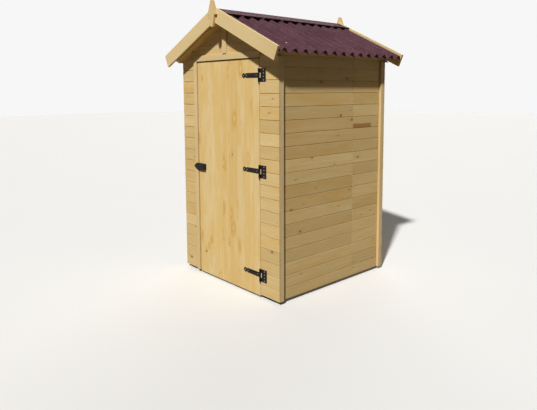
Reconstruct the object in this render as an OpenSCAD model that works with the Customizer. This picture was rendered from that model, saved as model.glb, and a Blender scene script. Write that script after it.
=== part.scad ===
// Small apex garden shed in unpainted softwood: wall panels of boards on a light frame,
// one outward-opening boarded door on three T-hinges, and a corrugated bitumen roof
// between barge boards with finials. X runs along the front, Y into the depth, Z up.
// The origin is on the ground under the middle of the shed. The front faces -Y.

/* [Shed] */
// Width of the shed over its front and back wall panels
shed_w = 1150; // [900:10:1600]
// Depth of the shed over its front and back wall panels
shed_d = 1150; // [900:10:2000]
// Height of the wall panels at the eaves, from their bottom edge
wall_h = 1676; // [1500:10:2200]
// Height of the wall panels' bottom edge above the ground
wall_lift = 22; // [15:1:40]

/* [Boards and frame] */
// Thickness of the wall boards
board_t = 16; // [12:1:28]
// Height that one wall board covers
board_pitch = 90; // [70:1:140]
// Height of the lowest wall board
first_board = 79; // [40:1:90]
// Thickness of the frame timbers
frame_t = 28; // [20:1:45]
// Width of the frame timbers
frame_w = 45; // [35:1:60]
// Groove between a side wall's boards and the end wall panels
corner_groove = 12; // [4:1:20]
// Distance of the seam between the two side panels from the back of the shed
seam_from_back = 367; // [250:1:450]
// Joint between the two posts at the seam
seam_gap = 4; // [2:1:10]

/* [Floor] */
// Width of the floor bearers
bearer_w = 45; // [35:1:60]
// Height of the floor bearers
bearer_h = 45; // [40:1:60]
// Number of floor bearers
bearer_count = 3; // [3:1:5]
// Thickness of the floor boards
floor_t = 16; // [12:1:28]
// Gap between the floor's ends and the end wall boards
floor_gap = 6; // [6:1:12]

/* [Door] */
// Width of the door leaf
door_w = 740; // [600:1:760]
// Distance of the door's hinge edge from the shed's right corner
door_inset = 200; // [160:1:230]
// Height of the door leaf
door_h = 1674; // [1450:1:1680]
// Height of the door leaf's bottom edge above the ground
door_lift = 16; // [10:1:22]
// Gap around the door leaf
door_gap = 6; // [5:1:10]
// Thickness of the door boards
door_t = 16; // [12:1:22]
// Width of the ledges across the back of the door
ledge_w = 70; // [50:1:100]
// Thickness of the door ledges and braces
ledge_t = 18; // [14:1:24]
// Distance of the ledges' ends from the door leaf's edges
ledge_inset = 40; // [30:1:80]
// Height of the lower ledge and its hinge above the door's bottom edge
low_ledge_z = 154; // [100:1:200]
// Height of the middle ledge and its hinge above the door's bottom edge
mid_ledge_z = 897; // [700:1:1000]
// Distance of the upper ledge and its hinge below the door's top edge
top_ledge_drop = 113; // [70:1:200]

/* [Door trim] */
// Width of the lintel and the centre strip
trim_w = 45; // [35:1:60]
// Width of the jamb strip
jamb_w = 38; // [30:1:60]
// Thickness of the jamb strip and the lintel
trim_t = 10; // [8:1:28]
// How far the lintel runs past the doorway on the hinge side
lintel_over = 6; // [0:1:40]
// Thickness of the centre strip on the gable
king_t = 16; // [10:1:28]

/* [Hinges] */
// Length of a hinge strap from the pin to its round end
strap_l = 186; // [140:1:260]
// Width of a hinge strap at the pin
strap_w = 34; // [24:1:40]
// Width of a hinge strap at its neck
strap_end_w = 30; // [20:1:38]
// Thickness of the hinge straps and plates
hinge_t = 3; // [2:0.5:4]
// Width of a hinge plate from the pin
plate_w = 67; // [40:1:75]
// Height of a hinge plate
plate_h = 90; // [80:1:110]
// Outer radius of the hinge barrels
barrel_r = 6; // [5:0.5:8]
// Radius of the hinge pins
pin_r = 3; // [2:0.5:4]
// Radial running clearance of the hinge pins
pin_clear = 0.06; // [0.02:0.01:0.1]
// Length of pin that stands out under a hinge
pin_tail = 10; // [5:1:15]

/* [Latch] */
// Height of the latch's middle above the door's bottom edge
latch_z = 860; // [700:1:1000]
// Height of the latch plate
latch_h = 60; // [45:1:80]
// Length of the latch plate with its nose
latch_l = 148; // [110:1:180]
// How far the nose reaches past the door's edge
latch_reach = 50; // [30:1:60]
// Clearance between the latch's nose and the jamb strip
latch_clear = 5; // [5:1:8]
// Thickness of the latch plate
latch_t = 4; // [2:1:6]

/* [Roof] */
// Roof pitch in degrees
pitch = 25; // [15:1:35]
// Overhang of the roof at front and back, to the outer face of the barge boards
verge = 103; // [70:1:150]
// Overhang of the roof sheets at the eaves, measured level
eave = 88; // [50:1:140]
// Thickness of the purlins
purlin_t = 28; // [20:1:45]
// Depth of the purlins
purlin_h = 45; // [35:1:60]
// How far the verge rafters and barge boards hang below the purlins
rafter_drop = 7; // [0:1:15]
// Gap between the verge rafters and the barge boards
rafter_gap = 10; // [0:1:20]
// Pitch of the roof sheets' waves
wave_pitch = 95; // [70:1:120]
// Overall height of the roof sheets' waves
wave_h = 38; // [25:1:50]
// Thickness of the roof sheets
sheet_t = 3; // [2:0.5:5]
// Gap between the two roof sheets at the ridge, measured level
ridge_gap = 24; // [10:1:40]
// Half width of the ridge cap, measured level
cap_w = 132; // [90:1:180]
// Thickness of the ridge cap
cap_t = 4; // [2:0.5:6]
// Radius of the ridge cap's rounded top
cap_r = 60; // [30:1:90]

/* [Barge boards] */
// Depth of the barge boards
barge_h = 97; // [80:1:140]
// Thickness of the barge boards
barge_t = 18; // [14:1:24]
// Level distance of the barge boards' top corner past the wall
barge_eave = 102; // [60:1:140]
// How far the end cut leans back at the bottom corner
barge_lean = 39; // [0:1:50]
// Height of the finials' tips above the point where the barge boards' top edges meet
finial_h = 48; // [30:1:90]
// How far the finials hang below the point where the barge boards' lower edges meet
finial_drop = 35; // [10:1:60]
// Width of the finials at their shoulders
finial_w = 100; // [60:1:140]
// Width of the finials' pendants under the shoulders
pendant_w = 60; // [40:1:100]
// Width of the finials at the foot
finial_foot = 22; // [14:1:40]
// Radius of the finials' rounded tips
finial_r = 14; // [8:1:20]
// Height of the finials' shoulders above the point where the barge boards' lower edges meet
shoulder_h = 48; // [20:1:60]

/* [Hidden] */
$fn = 48;

pine = "burlywood";
bitumen = "#5a3038";
black = "#1c1c1e";
grey_pine = "lightgray";

overcut = 1;                            // how far a shape passes the faces that it cuts or joins
mitre_gap = 1;                          // joint between sloping timbers that meet at the ridge
barrel_stand = 1;                       // gap between a hinge barrel and the wall
knuckle_gap = 1.5;                      // gap between the knuckles of a hinge
leaf_relief = 13;                       // width of a hinge plate's slot beside the strap's barrel

half_w = shed_w / 2;
half_d = shed_d / 2;
rise = tan(pitch);
cut = cos(pitch);
eave_z = wall_lift + wall_h;            // underside of the roof frame at the wall's face
deck_z = bearer_h + floor_t;            // top of the floor
side_face = half_w - board_t;           // outer face of the side walls' boards
side_back = side_face - board_t;        // inner face of the side walls' boards
end_back = half_d - board_t;            // inner face of the end walls' boards
panel_back = end_back - frame_t;        // inner face of the end walls' frame
rail_cut = frame_w / cut;               // plumb depth of a sloping frame timber
door_right = half_w - door_inset;       // hinge edge of the door leaf
door_left = door_right - door_w;        // closing edge of the door leaf
way_left = door_left - door_gap;
way_right = door_right + door_gap;
way_top = door_lift + door_h + door_gap;
split_z = wall_lift + first_board
    + board_pitch * ceil((way_top - wall_lift - first_board) / board_pitch);
seam_y = half_d - seam_from_back;
axis_x = door_right + door_gap / 2;     // hinge axis
axis_y = -half_d - barrel_r - barrel_stand;
hinge_zs = [low_ledge_z, mid_ledge_z, door_h - top_ledge_drop];
barge_back = half_d + verge - barge_t;  // inner face of the barge boards
sheet_half = barge_back - sheet_t;      // half width of the roof sheets

// Height of the roof frame's underside at a level distance x from the middle
function slope_z(x) = eave_z + (half_w - abs(x)) * rise;

// Moves a child drawn in the XZ plane so that it runs from y0 to y1
module between_y(y0, y1) {
    translate([0, y1, 0]) rotate([90, 0, 0]) linear_extrude(y1 - y0) children();
}

// A box given by its lowest and highest corners
module box(a, b) {
    translate(a) cube(b - a);
}

// A timber in the XZ plane between two x values, from z0 up to the roof frame less a drop
module under_slope(x0, x1, z0, drop, y0, y1) {
    between_y(y0, y1)
        polygon([[x0, z0], [x1, z0], [x1, slope_z(x1) - drop], [x0, slope_z(x0) - drop]]);
}

// Draws its children on the right and, mirrored, on the left
module both_sides() {
    for (side = [0, 1]) mirror([side, 0, 0]) children();
}

// Draws its children at the front (-Y) and, mirrored, at the back
module both_ends() {
    for (end = [0, 1]) mirror([0, end, 0]) children();
}

// Places children in the right roof slope: x runs down the slope from the ridge,
// z stands square to it, and z = 0 is the underside of the roof frame
module on_slope() {
    translate([0, 0, slope_z(0)]) rotate([0, pitch, 0]) children();
}

/* Floor */

module bearers() {
    outer = side_back - bearer_w / 2;
    step = 2 * outer / (bearer_count - 1);
    color(grey_pine)
        for (i = [0 : bearer_count - 1])
            translate([-outer + i * step - bearer_w / 2, -end_back + floor_gap * 2, 0])
                cube([bearer_w, 2 * (end_back - floor_gap * 2), bearer_h]);
}

module floor_deck() {
    color(pine)
        box([-side_back, -end_back + floor_gap, bearer_h],
            [side_back, end_back - floor_gap, deck_z]);
}

/* Front wall */

// Outline of an end wall's boards, up to the roof's slopes
module end_outline() {
    polygon([[-half_w, wall_lift], [half_w, wall_lift], [half_w, eave_z],
        [0, slope_z(0)], [-half_w, eave_z]]);
}

// The part of an end wall's outline inside a rectangle
module end_part(x0, x1, z0, z1) {
    intersection() {
        end_outline();
        translate([x0, z0]) square([x1 - x0, z1 - z0]);
    }
}

module front_boards_left() {
    color(pine) between_y(-half_d, -end_back) end_part(-half_w, way_left, wall_lift, split_z);
}

module front_boards_right() {
    color(pine) between_y(-half_d, -end_back) end_part(way_right, half_w, wall_lift, split_z);
}

module front_gable_boards() {
    color(pine) between_y(-half_d, -end_back) {
        end_part(-half_w, half_w, split_z, slope_z(0));
        end_part(way_left, way_right, way_top, split_z);
    }
}

// A panel's corner post: it stands on the floor and laps the floor's edge down to the wall's foot
module corner_post(y0, y1) {
    under_slope(half_w - frame_w, half_w, deck_z, 0, y0, y1);
    box([side_back, y0, wall_lift], [half_w, y1, deck_z + overcut]);
}

module front_corner_posts() {
    color(pine) both_sides() corner_post(-end_back, -panel_back);
}

module door_posts() {
    color(pine) {
        under_slope(way_left - frame_w, way_left, deck_z, rail_cut, -end_back, -panel_back);
        under_slope(way_right, way_right + frame_w, deck_z, rail_cut, -end_back, -panel_back);
    }
}

module door_head() {
    color(pine) between_y(-end_back, -panel_back) intersection() {
        translate([way_left, way_top]) square([way_right - way_left, frame_w]);
        translate([0, -rail_cut]) end_outline();
    }
}

module front_sole_rails() {
    color(pine) {
        box([-half_w + frame_w, -end_back, deck_z],
            [way_left - frame_w, -panel_back, deck_z + frame_w]);
        box([way_right + frame_w, -end_back, deck_z],
            [half_w - frame_w, -panel_back, deck_z + frame_w]);
    }
}

module jamb_strip() {
    color(pine) box([way_left - jamb_w, -half_d - trim_t, wall_lift], [way_left, -half_d, way_top]);
}

module lintel() {
    color(pine) box([way_left - jamb_w, -half_d - trim_t, way_top],
        [way_right + lintel_over, -half_d, way_top + trim_w]);
}

module gable_centre_strip() {
    foot = way_top + trim_w;
    tip = slope_z(trim_w / 2);
    color(pine) between_y(-half_d - king_t, -half_d)
        polygon([[-trim_w / 2, foot], [trim_w / 2, foot], [trim_w / 2, tip],
            [0, slope_z(0)], [-trim_w / 2, tip]]);
}

/* Back wall and gable frames */

module back_boards() {
    color(pine) between_y(end_back, half_d) end_outline();
}

module back_posts() {
    color(pine) {
        both_sides() corner_post(panel_back, end_back);
        between_y(panel_back, end_back)
            polygon([[-frame_w / 2, deck_z + frame_w], [frame_w / 2, deck_z + frame_w],
                [frame_w / 2, slope_z(frame_w / 2) - rail_cut], [0, slope_z(0) - rail_cut],
                [-frame_w / 2, slope_z(frame_w / 2) - rail_cut]]);
    }
}

module back_sole_rail() {
    color(pine) box([-half_w + frame_w, panel_back, deck_z],
        [half_w - frame_w, end_back, deck_z + frame_w]);
}

module gable_rails() {
    color(pine) both_ends() both_sides() between_y(-end_back, -panel_back)
        polygon([[mitre_gap / 2, slope_z(mitre_gap / 2) - rail_cut],
            [mitre_gap / 2, slope_z(mitre_gap / 2)],
            [half_w - frame_w, slope_z(half_w - frame_w)],
            [half_w - frame_w, slope_z(half_w - frame_w) - rail_cut]]);
}

/* Side walls: drawn on the right, mirrored for the left */

module side_boards(y0, y1) {
    color(pine) under_slope(side_back, side_face, wall_lift, 0, y0, y1);
}

module side_studs() {
    inner = side_back - frame_t;
    starts = [-panel_back, (-panel_back + seam_y) / 2 - frame_w / 2,
        seam_y - seam_gap / 2 - frame_w, seam_y + seam_gap / 2, panel_back - frame_w];
    color(pine)
        for (y = starts)
            under_slope(inner, side_back, deck_z + frame_w, rail_cut, y, y + frame_w);
}

module side_rails() {
    inner = side_back - frame_t;
    color(pine) {
        box([inner, -panel_back, deck_z], [side_back, panel_back, deck_z + frame_w]);
        between_y(-panel_back, panel_back)
            polygon([[inner, slope_z(inner) - rail_cut], [side_back, slope_z(side_back) - rail_cut],
                [side_back, slope_z(side_back)], [inner, slope_z(inner)]]);
    }
}

module right_boards_front() { side_boards(-panel_back + corner_groove, seam_y); }
module right_boards_rear() { side_boards(seam_y, panel_back - corner_groove); }
module right_studs() { side_studs(); }
module right_rails() { side_rails(); }
module left_boards_front() { mirror([1, 0, 0]) right_boards_front(); }
module left_boards_rear() { mirror([1, 0, 0]) right_boards_rear(); }
module left_studs() { mirror([1, 0, 0]) side_studs(); }
module left_rails() { mirror([1, 0, 0]) side_rails(); }

/* Roof frame */

// One pair of purlins with their middle at a distance down the slope
module purlin_pair(down, y_end) {
    color(pine) both_sides() on_slope()
        box([down - purlin_t / 2, -y_end, 0], [down + purlin_t / 2, y_end, purlin_h]);
}

eave_down = (half_w - board_t - frame_t) / cut + purlin_t / 2;
ridge_down = purlin_t / 2 + purlin_h * rise + ridge_gap;
rafter_face = barge_back - rafter_gap;  // outer face of the verge rafters
rafter_back = rafter_face - frame_t;

module eave_purlins() { purlin_pair(eave_down, barge_back); }
module mid_purlins() { purlin_pair(eave_down / 2, barge_back); }
module ridge_purlins() { purlin_pair(ridge_down, barge_back); }

// Rafters at one end, from a plumb cut at the ridge to the eave purlins, notched for the others
module verge_rafters() {
    color(pine) both_sides() difference() {
        intersection() {
            on_slope() box([-frame_w, -rafter_face, -rafter_drop],
                [eave_down - purlin_t / 2, -rafter_back, purlin_h]);
            box([mitre_gap / 2, -rafter_face, 0], [half_w, -rafter_back, 2 * eave_z]);
        }
        on_slope()
            for (down = [ridge_down, eave_down / 2])
                box([down - purlin_t / 2, -rafter_face - overcut, 0],
                    [down + purlin_t / 2, -rafter_back + overcut, purlin_h + overcut]);
    }
}

module front_verge_rafters() { verge_rafters(); }
module rear_verge_rafters() { mirror([0, 1, 0]) verge_rafters(); }

/* Roof sheets and ridge cap */

wave_steps = 12;                        // straight pieces in one wave
wave_count = ceil(2 * sheet_half / wave_pitch);
function wave_y(i) = (i / wave_steps - wave_count / 2) * wave_pitch;
function wave_z(i) = (wave_h - sheet_t) / 2 * (1 - cos(360 * i / wave_steps));

// Section of a sheet, square to the slope: a run of waves between two lines sheet_t apart
module sheet_section() {
    count = wave_count * wave_steps;
    under = [for (i = [0 : count]) [wave_y(i), wave_z(i)]];
    over = [for (i = [count : -1 : 0]) [wave_y(i), wave_z(i) + sheet_t]];
    intersection() {
        polygon(concat(under, over));
        translate([-sheet_half, -overcut]) square([2 * sheet_half, wave_h + 2 * overcut]);
    }
}

module roof_sheet_right() {
    start = (ridge_gap / 2) / cut;
    end = (half_w + eave) / cut - purlin_h * rise;
    color(bitumen) on_slope()
        translate([start, 0, purlin_h]) rotate([90, 0, 90])
            linear_extrude(end - start) sheet_section();
}

module roof_sheet_left() { mirror([1, 0, 0]) roof_sheet_right(); }

// Section of the cap: two flanges on the crests and a round top, as a band cap_t thick
function cap_line(r, lift) = concat(
    [[-cap_w, -cap_w * rise + lift]],
    [for (a = [-pitch : 5 : pitch]) [r * sin(a), lift - r / cut + r * cos(a)]],
    [[cap_w, -cap_w * rise + lift]]);

module ridge_cap() {
    seat = slope_z(0) + (purlin_h + wave_h) / cut;
    under = cap_line(cap_r, 0);
    over = cap_line(cap_r + cap_t, cap_t / cut);
    color(bitumen) translate([0, 0, seat]) between_y(-sheet_half, sheet_half)
        polygon(concat(under, [for (i = [len(over) - 1 : -1 : 0]) over[i]]));
}

/* Barge boards and finials */

barge_cut = barge_h / cut;              // plumb depth of a barge board

// Underside of the barge boards at a level distance x from the middle
function barge_z(x) = slope_z(x) - rafter_drop / cut;

// Right-hand board: plumb cut at the ridge, leaning cut at the eaves
module barge_outline() {
    near_x = mitre_gap / 2;
    low_x = half_w + barge_eave - barge_lean;
    top_x = half_w + barge_eave;
    polygon([[near_x, barge_z(near_x)], [low_x, barge_z(low_x)],
        [top_x, barge_z(top_x) + barge_cut], [near_x, barge_z(near_x) + barge_cut]]);
}

module barge_right() {
    color(pine) between_y(-barge_back - barge_t, -barge_back) barge_outline();
}

module front_barge_right() { barge_right(); }
module front_barge_left() { mirror([1, 0, 0]) barge_right(); }
module rear_barge_right() { mirror([0, 1, 0]) barge_right(); }
module rear_barge_left() { mirror([1, 0, 0]) mirror([0, 1, 0]) barge_right(); }

// A finial laps the joint of two barge boards: a spire with a rounded tip over square
// shoulders, and a tapered pendant below them
module finial_outline() {
    foot_z = barge_z(0) - finial_drop;
    shoulder_z = barge_z(0) + shoulder_h;
    tip_z = barge_z(0) + barge_cut + finial_h;
    hull() {
        translate([-finial_w / 2, shoulder_z]) square([finial_w, overcut]);
        translate([0, tip_z - finial_r]) circle(r = finial_r);
    }
    polygon([[-finial_foot / 2, foot_z], [finial_foot / 2, foot_z],
        [pendant_w / 2, shoulder_z + overcut], [-pendant_w / 2, shoulder_z + overcut]]);
}

module finial() {
    color(pine) between_y(-barge_back - 2 * barge_t, -barge_back - barge_t) finial_outline();
}

module front_finial() { finial(); }
module rear_finial() { mirror([0, 1, 0]) finial(); }

/* Door */

module door_leaf() {
    color(pine) box([door_left, -half_d, door_lift],
        [door_right, -half_d + door_t, door_lift + door_h]);
}

ledge_y0 = -half_d + door_t;

module door_ledges() {
    color(pine)
        for (z = hinge_zs)
            translate([door_left + ledge_inset, ledge_y0, door_lift + z - ledge_w / 2])
                cube([door_w - 2 * ledge_inset, ledge_t, ledge_w]);
}

// A brace rises from a ledge at the hinge side to the ledge above at the closing side
module door_braces() {
    right = door_right - ledge_inset;
    left = door_left + ledge_inset;
    color(pine)
        for (i = [0, 1]) {
            low = door_lift + hinge_zs[i] + ledge_w / 2;
            high = door_lift + hinge_zs[i + 1] - ledge_w / 2;
            between_y(ledge_y0, ledge_y0 + ledge_t)
                polygon([[right, low], [right - ledge_w, low], [left, high], [left + ledge_w, high]]);
        }
}

module knuckle(z0, z1, r) {
    translate([axis_x, axis_y, z0]) cylinder(h = z1 - z0, r = r);
}

knob_r = strap_w / 2;                   // round end of a strap
neck_w = strap_w * 0.56;                // narrow part of a strap before its round end
neck_x = strap_l - strap_w * 0.95;      // start of the neck from the pin
sleeve = strap_w / 2;                   // half height of a strap's barrel

// Outline of a strap: tapered, then a neck and a round end
module strap_outline() {
    polygon([[0, -strap_w / 2], [0, strap_w / 2], [-neck_x, strap_end_w / 2],
        [-neck_x, -strap_end_w / 2]]);
    translate([-strap_l + knob_r, -neck_w / 2]) square([strap_l - knob_r - neck_x + overcut, neck_w]);
    translate([-strap_l + knob_r, 0]) circle(r = knob_r);
}

module hinge_strap(z) {
    difference() {
        union() {
            translate([axis_x, -half_d, z]) rotate([90, 0, 0])
                linear_extrude(hinge_t) strap_outline();
            knuckle(z - sleeve, z + sleeve, barrel_r);
        }
        knuckle(z - sleeve - overcut, z + sleeve + overcut, pin_r + pin_clear);
    }
}

module hinge_straps() {
    color(black) for (z = hinge_zs) hinge_strap(door_lift + z);
}

module hinge_plate(z) {
    leaf_top = plate_h / 2;
    gap_top = sleeve + knuckle_gap;
    relief = barrel_r + leaf_relief;
    translate([axis_x, -half_d, z]) rotate([90, 0, 0]) linear_extrude(hinge_t)
        polygon([[0, -leaf_top], [plate_w, -leaf_top], [plate_w, leaf_top], [0, leaf_top],
            [0, gap_top], [relief, gap_top], [relief, -gap_top], [0, -gap_top]]);
    knuckle(z + gap_top, z + leaf_top, barrel_r);
    knuckle(z - leaf_top, z - gap_top, barrel_r);
    knuckle(z - leaf_top - pin_tail, z + leaf_top + pin_r, pin_r);
}

module hinge_plates() {
    color(black) for (z = hinge_zs) union() hinge_plate(door_lift + z);
}

// Latch case on the door's closing edge, with a pointed plate whose nose covers the jamb strip
module door_latch() {
    z = door_lift + latch_z;
    tip = door_left - latch_reach;
    nose = latch_l * 0.22;
    case_t = trim_t + latch_clear;
    color(black) union() {
        translate([0, -half_d - case_t, z]) rotate([90, 0, 0]) linear_extrude(latch_t)
            polygon([[tip, 0], [tip + nose, -latch_h / 2], [tip + latch_l, -latch_h / 2],
                [tip + latch_l, latch_h / 2], [tip + nose, latch_h / 2]]);
        box([door_left + latch_t, -half_d - case_t, z - latch_h / 2],
            [tip + latch_l, -half_d, z + latch_h / 2]);
    }
}

bearers();
floor_deck();
front_boards_left();
front_boards_right();
front_gable_boards();
front_corner_posts();
door_posts();
door_head();
front_sole_rails();
back_boards();
back_posts();
back_sole_rail();
gable_rails();
left_boards_front();
left_boards_rear();
left_studs();
left_rails();
right_boards_front();
right_boards_rear();
right_studs();
right_rails();
jamb_strip();
lintel();
gable_centre_strip();
eave_purlins();
mid_purlins();
ridge_purlins();
front_verge_rafters();
rear_verge_rafters();
roof_sheet_left();
roof_sheet_right();
ridge_cap();
front_barge_left();
front_barge_right();
rear_barge_left();
rear_barge_right();
front_finial();
rear_finial();
door_leaf();
door_ledges();
door_braces();
hinge_straps();
hinge_plates();
door_latch();
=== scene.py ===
"""Looks of a small boarded garden shed with one door and a corrugated roof, in metres.

X runs along the front, Y into the depth, Z up; the front faces -Y. Pieces take their places
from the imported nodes. Boards, sheets, plates and turned parts are surfaces worked out with
numpy: a section carried along a length, a grid of points over a slope, or a turned profile.
"""

import math

import bmesh
import bpy
import numpy as np
from mathutils import Matrix, Vector


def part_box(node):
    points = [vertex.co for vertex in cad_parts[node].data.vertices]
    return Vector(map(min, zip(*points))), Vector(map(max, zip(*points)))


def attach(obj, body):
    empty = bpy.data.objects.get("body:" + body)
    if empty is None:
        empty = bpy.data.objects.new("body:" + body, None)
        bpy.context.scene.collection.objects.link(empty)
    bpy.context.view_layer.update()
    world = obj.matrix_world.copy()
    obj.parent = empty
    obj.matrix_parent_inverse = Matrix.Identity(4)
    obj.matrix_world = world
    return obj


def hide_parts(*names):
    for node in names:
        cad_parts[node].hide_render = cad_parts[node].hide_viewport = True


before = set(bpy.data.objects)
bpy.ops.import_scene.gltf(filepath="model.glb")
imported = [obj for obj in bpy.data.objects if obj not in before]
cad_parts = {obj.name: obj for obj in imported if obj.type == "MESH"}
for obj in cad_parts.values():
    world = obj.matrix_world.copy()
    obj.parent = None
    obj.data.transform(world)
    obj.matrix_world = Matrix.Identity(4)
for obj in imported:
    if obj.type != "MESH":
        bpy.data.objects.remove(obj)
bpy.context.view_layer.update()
chance = np.random.default_rng(7)

# ------------------------ sizes of the boards

BOARD_PITCH = 0.090      # height that a wall board covers
FIRST_BOARD = 0.079      # height of the lowest wall board
LEAST_BOARD = 0.012      # a wall board cut narrower than this is one with its neighbour
LOW_CHAMFER = 0.0042     # chamfer along a wall board's lower edge
HIGH_CHAMFER = 0.0018    # chamfer along its upper edge
JOINT = 0.0012           # open part of a joint
TONGUE = 0.005           # how far a tongue stands out
GROOVE = TONGUE + 0.001  # depth of the groove that takes it
SLACK = 0.0003           # play of a tongue in its groove
BEND_CLEAR = 0.001       # least distance of a gable's bend from a board's chamfers
SEAM_GAP = 0.0013        # half the gap between the two panels of a side
CORNER_LAP = 0.0073      # how far the side boards reach into the groove at the front corner
DOOR_FIRST = 0.037       # width of the door's first board, on the closing side
FINE_CHAMFER = 0.0011    # chamfer along both edges of the boards of the door and the floor
FLOOR_PITCH = 0.095      # width that a floor board covers
LEAST_STRIP = 0.02       # narrowest last board of the door and the floor
# ranges of what is random in a board: its place along the trunk, where the pith lies across it
# and behind its face, how it slants past the pith, and its tone
GRAIN_SHIFT, GRAIN_SLANT, TONE_LIMIT = 20.0, 0.02, 1.8
PITH_ACROSS, PITH_BEHIND = (-0.03, 0.12), (-0.075, -0.012)

# ------------------------ measures from the frame

wall_low, wall_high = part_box("back_boards")
side_low, side_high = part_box("right_boards_front")
HALF_W, HALF_D = wall_high.x, wall_high.y
WALL_FOOT, APEX = wall_low.z, wall_high.z
END_BACK = wall_low.y                        # inner face of the end walls' boards
SIDE_BACK, SIDE_FACE = side_low.x, side_high.x
BOARD_T = SIDE_FACE - SIDE_BACK
RISE = (APEX - side_high.z) / SIDE_BACK      # roof slope, height per width
PITCH = math.atan(RISE)
SIN, COS = math.sin(PITCH), math.cos(PITCH)
EAVE = APEX - HALF_W * RISE                  # where the end walls' corners meet the slope
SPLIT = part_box("front_boards_left")[1].z     # joint between the lower and the gable boards
WAY_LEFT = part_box("front_boards_left")[1].x  # the doorway's left, right and top
WAY_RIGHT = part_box("front_boards_right")[0].x
WAY_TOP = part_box("front_gable_boards")[0].z
SEAM = side_high.y                           # seam between the side panels
SIDE_START = side_low.y - CORNER_LAP
SIDE_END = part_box("right_boards_rear")[1].y
door_low, door_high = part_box("door_leaf")
deck_low, deck_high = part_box("floor_deck")

# ------------------------ meshes

SAME_POINT = 1e-6  # points nearer than this are one
SHARP = 35         # degrees past which an edge is rounded


def placed(name, data):
    """A new object in the scene, with its data."""
    made = bpy.data.objects.new(name, data)
    bpy.context.scene.collection.objects.link(made)
    return made


def add_piece(name, shape, body, material, replaces=(), smooth=None, bevel=0.0):
    """A closed mesh that rides on a body. shape holds its points, its faces and, where it has
    them, its point attributes by name; smooth is the angle in degrees under which neighbouring
    faces shade as one, and bevel rounds the edges over that width."""
    points, faces, *marks = shape
    mesh = bpy.data.meshes.new(name)
    mesh.from_pydata(points.reshape(-1, 3).tolist(), [], faces)
    for mark, values in (marks[0] if marks else {}).items():
        kind = "FLOAT_VECTOR" if values.shape[-1] == 3 else "FLOAT"
        field = "vector" if kind == "FLOAT_VECTOR" else "value"
        mesh.attributes.new(mark, kind, "POINT").data.foreach_set(field, values.reshape(-1))
    work = bmesh.new()
    work.from_mesh(mesh)
    bmesh.ops.remove_doubles(work, verts=work.verts, dist=SAME_POINT)
    bmesh.ops.dissolve_degenerate(work, edges=work.edges, dist=SAME_POINT / 10)
    bmesh.ops.recalc_face_normals(work, faces=work.faces)
    work.to_mesh(mesh)
    work.free()
    piece = placed(name, mesh)
    mesh.materials.append(material)
    if smooth is not None:
        mesh.shade_smooth()
        mesh.set_sharp_from_angle(angle=math.radians(smooth))
    if bevel:
        round_edges(piece, bevel)
    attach(piece, body)
    if replaces:
        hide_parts(*replaces)


def round_edges(piece, width):
    """Rounds a piece's sharp edges over a width, in two steps."""
    bevel = piece.modifiers.new("rounded_edges", "BEVEL")
    bevel.width = width
    bevel.segments = 2
    bevel.limit_method = "ANGLE"
    bevel.angle_limit = math.radians(SHARP)


def loft_faces(rings, sides, copies=1):
    """Faces of copies of a closed surface whose rings of points follow each other: quad (ring
    i, side j) joins points j and j+1 of rings i and i+1, and the end rings are faces."""
    side = np.arange(sides)
    after = (side + 1) % sides
    ring = np.arange(rings - 1)[:, None] * sides
    quads = np.stack([ring + side, ring + after, ring + sides + after, ring + sides + side], -1)
    start = np.arange(copies)[:, None] * rings * sides
    faces = (quads[None] + start[..., None, None]).reshape(-1, 4).tolist()
    return faces + (start + side[::-1]).tolist() + (start + (rings - 1) * sides + side).tolist()


def thick_sheet(face, back):
    """Points and faces of a closed sheet between two grids of points, (rows, columns, 3) each:
    quad (i, j) joins point (i, j) to (i+1, j), (i+1, j+1) and (i, j+1), the back's quads run
    the other way round, and a strip along the rim joins the two."""
    rows, columns = face.shape[:2]
    index = np.arange(rows * columns).reshape(rows, columns)
    quads = np.stack([index[:-1, :-1], index[1:, :-1], index[1:, 1:], index[:-1, 1:]], -1)
    quads = quads.reshape(-1, 4)
    rim = np.concatenate([index[:-1, 0], index[-1, :-1], index[:0:-1, -1], index[0, :0:-1]])
    after = np.roll(rim, -1)
    strip = np.stack([rim, rim + index.size, after + index.size, after], -1)
    faces = np.concatenate([quads, quads[:, ::-1] + index.size, strip])
    return np.concatenate([face.reshape(-1, 3), back.reshape(-1, 3)]), faces.tolist()


def turned(profile, places, axis, sides):
    """Turned parts, one at each place: point (r, h) of the profile goes round the axis as
    place + h axis + r (u cos t + v sin t). u is the axis with its parts moved round by one and
    v is square to both, so the rings are square to an axis along X, Y or Z, and lean on others."""
    axis = np.array(axis, float)
    across = np.array([axis[1], axis[2], axis[0]])
    up = np.cross(axis, across)
    turn = np.arange(sides) * 2 * math.pi / sides
    round_way = np.cos(turn)[:, None] * across + np.sin(turn)[:, None] * up
    reach, height = np.array(profile).T
    ring = height[:, None, None] * axis + reach[:, None, None] * round_way
    places = np.array(places, float).reshape(-1, 1, 1, 3)
    return (places + ring).reshape(-1, 3), loft_faces(len(reach), sides, len(places))


def prism(outline, start, end):
    """An outline of points (x, z) in order, carried along Y from start to end."""
    x, z = np.array(outline).T
    ends = [np.stack([x, 0 * x + y, z], -1) for y in (start, end)]
    return np.stack(ends).reshape(-1, 3), loft_faces(2, len(x))


def joined(parts):
    """One point array and face list from several (points, faces) pairs."""
    points, faces, start = [], [], 0
    for part_points, part_faces in parts:
        points.append(part_points.reshape(-1, 3))
        faces += [[index + start for index in face] for face in part_faces]
        start += len(points[-1])
    return np.concatenate(points), faces


# ------------------------ tongued boards


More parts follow.
